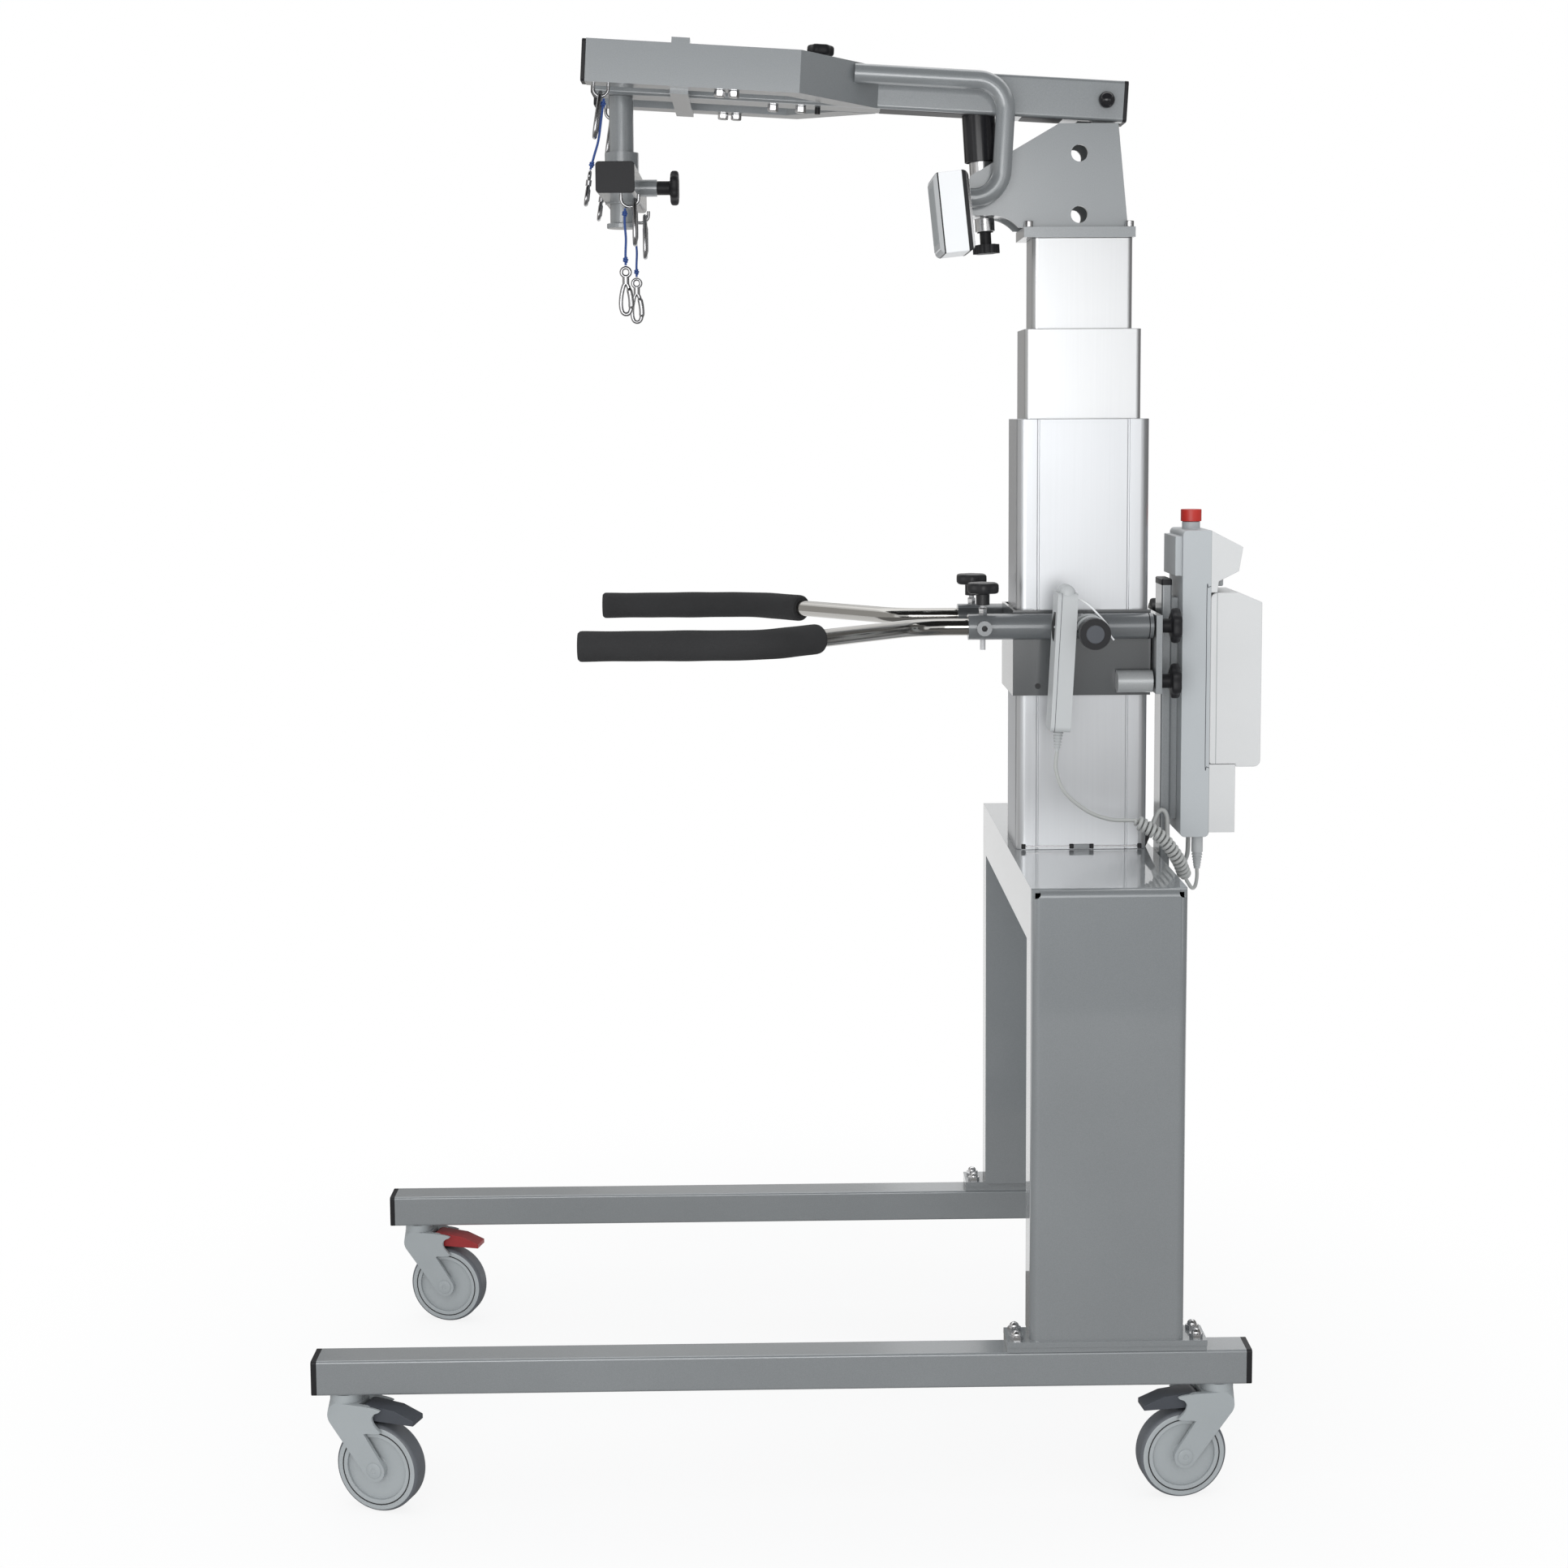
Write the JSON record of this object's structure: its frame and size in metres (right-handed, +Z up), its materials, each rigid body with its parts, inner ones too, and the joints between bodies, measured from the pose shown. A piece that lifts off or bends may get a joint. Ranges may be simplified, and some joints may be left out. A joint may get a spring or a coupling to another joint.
{
  "type": "body weight support system",
  "caption": "Wheeled gait-training frame: portal on long legs, telescoping lift column, sprung boom with harness spreader and hooks, adjustable padded handlebars, hand control and battery box.",
  "frame": {"origin": "on the floor, below the middle of the object's box", "axes": "+X to the rear where the column stands, +Y to the far side, +Z up"},
  "size_m": [1.38, 0.7806, 2.0597],
  "materials": {
    "grey_coat": "metallic grey powder coat",
    "anodised": "brushed and clear anodised",
    "bright_zinc": "bright zinc plate",
    "chrome_bar": "polished chrome",
    "foam_grip": "matte closed-cell foam",
    "black_plastic": "satin black plastic",
    "castor_plastic": "light grey moulded plastic",
    "pedal_grey": "dark grey moulded plastic",
    "pedal_red": "red moulded plastic",
    "control_grey": "pale grey moulded plastic",
    "white_case": "off-white moulded plastic",
    "signal_red": "glossy red plastic",
    "grey_cord": "smooth grey cable sheath",
    "blue_cord": "braided blue cord",
    "drive_black": "black painted drive, hidden in the column"
  },
  "bodies": {
    "frame": {"base_legs": "grey_coat", "leg_end_caps": "black_plastic", "portal_frame": "grey_coat", "portal_nuts": "bright_zinc", "column_outer": "anodised", "lift_drive": "drive_black", "control_rail": "bright_zinc", "control_box": "control_grey", "battery_pack": "white_case", "control_leads": "grey_cord", "handset_coil": "grey_cord", "handset_plug": "grey_cord"},
    "middle_stage": {"column_middle": "anodised"},
    "head": {"column_inner": "anodised", "head_bracket": "grey_coat", "head_bolts": "bright_zinc", "strut_rod": "bright_zinc"},
    "strut_knob": {"strut_knob": "black_plastic"},
    "boom": {"boom": "grey_coat", "boom_caps": "black_plastic", "boom_pivot_pin": "black_plastic", "yoke": "grey_coat", "display_box": "white_case", "strut_barrel": "black_plastic", "hanging_post": "grey_coat", "yoke_hooks": "bright_zinc", "yoke_cords": "blue_cord"},
    "boom_knob": {"boom_knob": "black_plastic"},
    "spreader": {"spreader_bar": "grey_coat", "spreader_caps": "black_plastic", "spreader_hooks": "bright_zinc", "spreader_cords": "blue_cord"},
    "spreader_knob": {"spreader_knob": "black_plastic"},
    "handrail": {"handrail_frame": "grey_coat", "handrail_back_plate": "grey_coat", "handset": "control_grey"},
    "handset_rocker": {"handset_rocker": "black_plastic"},
    "estop_button": {"estop_button": "signal_red"},
    "near_handlebar": {"near_handlebar": "chrome_bar", "near_grip": "foam_grip"},
    "near_handle_knob": {"near_handle_knob": "black_plastic"},
    "near_upper_clamp_knob": {"near_upper_clamp_knob": "black_plastic"},
    "near_lower_clamp_knob": {"near_lower_clamp_knob": "black_plastic"},
    "far_handlebar": {"far_handlebar": "chrome_bar", "far_grip": "foam_grip"},
    "far_handle_knob": {"far_handle_knob": "black_plastic"},
    "far_upper_clamp_knob": {"far_upper_clamp_knob": "black_plastic"},
    "far_lower_clamp_knob": {"far_lower_clamp_knob": "black_plastic"},
    "near_front_fork": {"near_front_fork": "castor_plastic"},
    "near_front_wheel": {"near_front_wheel": "castor_plastic"},
    "near_front_pedal": {"near_front_pedal": "pedal_grey"},
    "far_front_fork": {"far_front_fork": "castor_plastic"},
    "far_front_wheel": {"far_front_wheel": "castor_plastic"},
    "far_front_pedal": {"far_front_pedal": "pedal_red"},
    "near_rear_fork": {"near_rear_fork": "castor_plastic"},
    "near_rear_wheel": {"near_rear_wheel": "castor_plastic"},
    "near_rear_pedal": {"near_rear_pedal": "pedal_grey"},
    "far_rear_fork": {"far_rear_fork": "castor_plastic"},
    "far_rear_wheel": {"far_rear_wheel": "castor_plastic"},
    "far_rear_pedal": {"far_rear_pedal": "pedal_grey"}
  },
  "joints": [
    {"name": "middle_lift", "type": "slide", "parent": "frame", "child": "middle_stage", "axis": [0, 0, 1], "range_m": [-0.12, 0.17]},
    {"name": "inner_lift", "type": "slide", "parent": "middle_stage", "child": "head", "axis": [0, 0, 1], "range_m": [-0.12, 0.17]},
    {"name": "boom_sway", "type": "hinge", "parent": "head", "child": "boom", "pos_m": [0.455, 0, 1.978], "axis": [0, 1, 0], "range_deg": [-3.3, 0], "stiffness_Nm_per_rad": 3000, "springref_deg": 2.86},
    {"name": "boom_knob_turn", "type": "hinge", "parent": "boom", "child": "boom_knob", "pos_m": [0.0337, 0, 2.0023], "axis": [0.0576, 0, 0.9983], "continuous": true},
    {"name": "strut_knob_turn", "type": "hinge", "parent": "head", "child": "strut_knob", "pos_m": [0.27, 0, 1.958], "axis": [-0.061, 0, 0.9981], "continuous": true},
    {"name": "spreader_height", "type": "slide", "parent": "boom", "child": "spreader", "axis": [0, 0, 1], "range_m": [-0.025, 0.02]},
    {"name": "spreader_knob_turn", "type": "hinge", "parent": "spreader", "child": "spreader_knob", "pos_m": [-0.258, 0, 1.856], "axis": [1, 0, 0], "continuous": true},
    {"name": "handrail_height", "type": "slide", "parent": "frame", "child": "handrail", "axis": [0, 0, 1], "range_m": [-0.1, 0.2], "deforming": ["control_leads"]},
    {"name": "rocker_tip", "type": "hinge", "parent": "handrail", "child": "handset_rocker", "pos_m": [0.36514, -0.168, 1.21569], "axis": [0, 1, 0], "range_deg": [-3, 3], "stiffness_Nm_per_rad": 0.5},
    {"name": "estop_press", "type": "slide", "parent": "frame", "child": "estop_button", "axis": [0, 0, 1], "range_m": [-0.004, 0], "stiffness_N_per_m": 800},
    {"name": "near_handlebar_reach", "type": "slide", "parent": "handrail", "child": "near_handlebar", "axis": [1, 0, 0], "range_m": [-0.1, 0.02]},
    {"name": "near_handle_knob_turn", "type": "hinge", "parent": "handrail", "child": "near_handle_knob", "pos_m": [0.269, -0.095, 1.209], "axis": [0, 0, 1], "continuous": true},
    {"name": "near_upper_clamp_knob_turn", "type": "hinge", "parent": "handrail", "child": "near_upper_clamp_knob", "pos_m": [0.53, -0.095, 1.209], "axis": [1, 0, 0], "continuous": true},
    {"name": "near_lower_clamp_knob_turn", "type": "hinge", "parent": "handrail", "child": "near_lower_clamp_knob", "pos_m": [0.53, -0.095, 1.127], "axis": [1, 0, 0], "continuous": true},
    {"name": "far_handlebar_reach", "type": "slide", "parent": "handrail", "child": "far_handlebar", "axis": [1, 0, 0], "range_m": [-0.085, 0.035]},
    {"name": "far_handle_knob_turn", "type": "hinge", "parent": "handrail", "child": "far_handle_knob", "pos_m": [0.269, 0.095, 1.209], "axis": [0, 0, 1], "continuous": true},
    {"name": "far_upper_clamp_knob_turn", "type": "hinge", "parent": "handrail", "child": "far_upper_clamp_knob", "pos_m": [0.53, 0.095, 1.209], "axis": [1, 0, 0], "continuous": true},
    {"name": "far_lower_clamp_knob_turn", "type": "hinge", "parent": "handrail", "child": "far_lower_clamp_knob", "pos_m": [0.53, 0.095, 1.127], "axis": [1, 0, 0], "continuous": true},
    {"name": "near_front_swivel", "type": "hinge", "parent": "frame", "child": "near_front_fork", "pos_m": [-0.645, -0.34, 0.165], "axis": [0, 0, 1], "continuous": true},
    {"name": "near_front_roll", "type": "hinge", "parent": "near_front_fork", "child": "near_front_wheel", "pos_m": [-0.59583, -0.35693, 0.0625], "axis": [0.3256, 0.9455, 0], "continuous": true},
    {"name": "near_front_brake", "type": "hinge", "parent": "near_front_fork", "child": "near_front_pedal", "pos_m": [-0.60869, -0.3525, 0.1416], "axis": [0.3256, 0.9455, 0], "range_deg": [0, 6]},
    {"name": "far_front_swivel", "type": "hinge", "parent": "frame", "child": "far_front_fork", "pos_m": [-0.645, 0.34, 0.165], "axis": [0, 0, 1], "continuous": true},
    {"name": "far_front_roll", "type": "hinge", "parent": "far_front_fork", "child": "far_front_wheel", "pos_m": [-0.59454, 0.32742, 0.0625], "axis": [0.2419, 0.9703, 0], "continuous": true},
    {"name": "far_front_brake", "type": "hinge", "parent": "far_front_fork", "child": "far_front_pedal", "pos_m": [-0.60774, 0.33071, 0.1416], "axis": [0.2419, 0.9703, 0], "range_deg": [0, 6]},
    {"name": "near_rear_swivel", "type": "hinge", "parent": "frame", "child": "near_rear_fork", "pos_m": [0.579, -0.34, 0.165], "axis": [0, 0, 1], "continuous": true},
    {"name": "near_rear_roll", "type": "hinge", "parent": "near_rear_fork", "child": "near_rear_wheel", "pos_m": [0.52751, -0.34724, 0.0625], "axis": [0.1392, -0.9903, 0], "continuous": true},
    {"name": "near_rear_brake", "type": "hinge", "parent": "near_rear_fork", "child": "near_rear_pedal", "pos_m": [0.54097, -0.34534, 0.1416], "axis": [0.1392, -0.9903, 0], "range_deg": [0, 6]},
    {"name": "far_rear_swivel", "type": "hinge", "parent": "frame", "child": "far_rear_fork", "pos_m": [0.579, 0.34, 0.165], "axis": [0, 0, 1], "continuous": true},
    {"name": "far_rear_roll", "type": "hinge", "parent": "far_rear_fork", "child": "far_rear_wheel", "pos_m": [0.52983, 0.35693, 0.0625], "axis": [-0.3256, -0.9455, 0], "continuous": true},
    {"name": "far_rear_brake", "type": "hinge", "parent": "far_rear_fork", "child": "far_rear_pedal", "pos_m": [0.54269, 0.3525, 0.1416], "axis": [-0.3256, -0.9455, 0], "range_deg": [0, 6]}
  ],
  "couplings": [
    {"joint": "inner_lift", "follows": "middle_lift", "ratio": 1}
  ]
}
